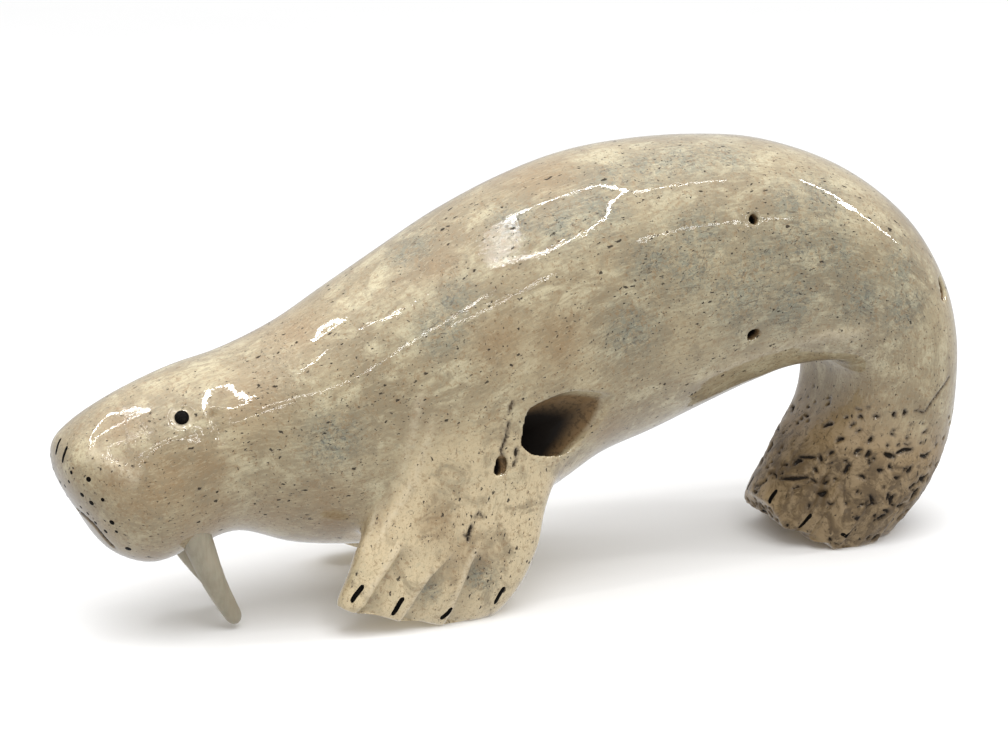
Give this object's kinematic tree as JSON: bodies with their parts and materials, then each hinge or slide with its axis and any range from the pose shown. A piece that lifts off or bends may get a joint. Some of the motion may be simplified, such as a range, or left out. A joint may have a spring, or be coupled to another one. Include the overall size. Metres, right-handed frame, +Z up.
{
  "type": "carved figure",
  "caption": "Polished walrus figure carved from a walrus jawbone, standing on its flippers, with ivory tusks and dark inlaid eyes, nostrils and claws.",
  "frame": {"origin": "middle of the bounding box at the level of the soles", "axes": "+X from the nose to the tail, +Y to the animal's right side, +Z up"},
  "size_m": [0.2484, 0.0644, 0.1125],
  "materials": {
    "bone": "polished bone",
    "ivory": "polished ivory",
    "baleen": "polished baleen"
  },
  "bodies": {
    "root": {"carved_jawbone": "bone", "tusk_left": "ivory", "tusk_right": "ivory", "eye_left": "baleen", "eye_right": "baleen", "nostril_left": "baleen", "nostril_right": "baleen", "front_claw_left_1": "baleen", "front_claw_left_2": "baleen", "front_claw_left_3": "baleen", "front_claw_left_4": "baleen", "front_claw_right_1": "baleen", "front_claw_right_2": "baleen", "front_claw_right_3": "baleen", "front_claw_right_4": "baleen", "hind_claw_left_1": "baleen", "hind_claw_left_2": "baleen", "hind_claw_left_3": "baleen", "hind_claw_left_4": "baleen", "hind_claw_right_1": "baleen", "hind_claw_right_2": "baleen", "hind_claw_right_3": "baleen", "hind_claw_right_4": "baleen"}
  },
  "joints": []
}
